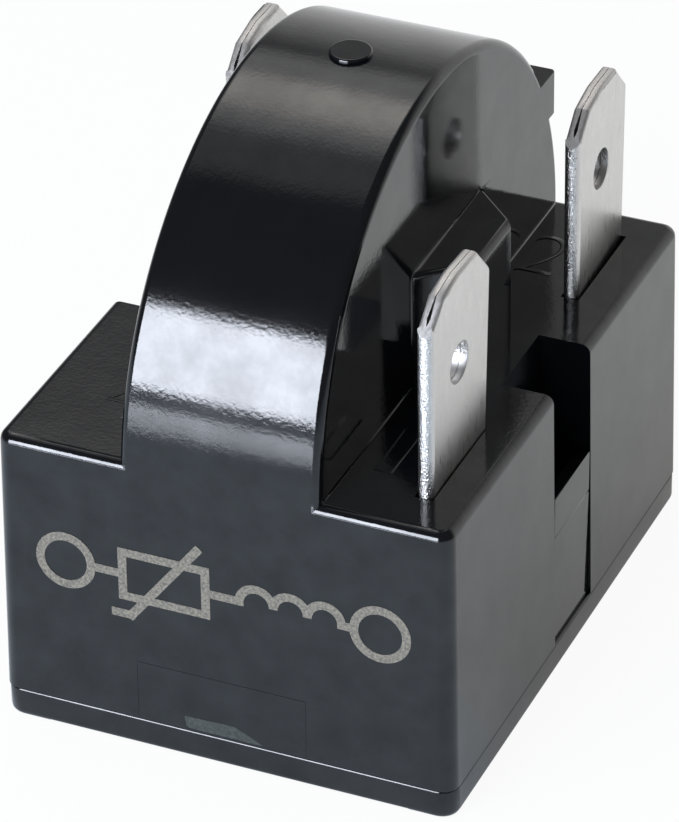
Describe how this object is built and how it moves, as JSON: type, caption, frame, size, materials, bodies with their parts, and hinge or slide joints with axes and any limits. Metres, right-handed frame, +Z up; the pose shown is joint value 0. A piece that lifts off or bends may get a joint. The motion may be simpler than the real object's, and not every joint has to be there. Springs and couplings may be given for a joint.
{
  "type": "compressor start relay",
  "caption": "Thermistor start relay with a half-round hump, folded quick-connect tabs on top and sockets for compressor pins in its base.",
  "frame": {"origin": "middle of the underside of the bottom cover, which seats on the compressor", "axes": "+Z up from the compressor along the tabs and pins, +X to the right of the front face, +Y from the front face to the rear"},
  "size_m": [0.023, 0.0296, 0.0306],
  "materials": {
    "housing_plastic": "glossy black moulding",
    "cover_plastic": "satin black moulding",
    "tinned_brass": "dull tin plate",
    "plain_brass": "plain",
    "spring_steel": "rolled strip",
    "thermistor_ceramic": "silvered faces"
  },
  "bodies": {
    "root": {"housing": "housing_plastic", "bottom_cover": "cover_plastic", "thermistor_disc": "thermistor_ceramic", "main_terminal": "tinned_brass", "start_terminal": "tinned_brass", "main_contact_spring": "spring_steel", "start_contact_spring": "spring_steel", "spring_rivets": "plain_brass", "main_pin_socket": "tinned_brass", "start_pin_socket": "tinned_brass", "main_socket_clip": "spring_steel", "start_socket_clip": "spring_steel"}
  },
  "joints": []
}
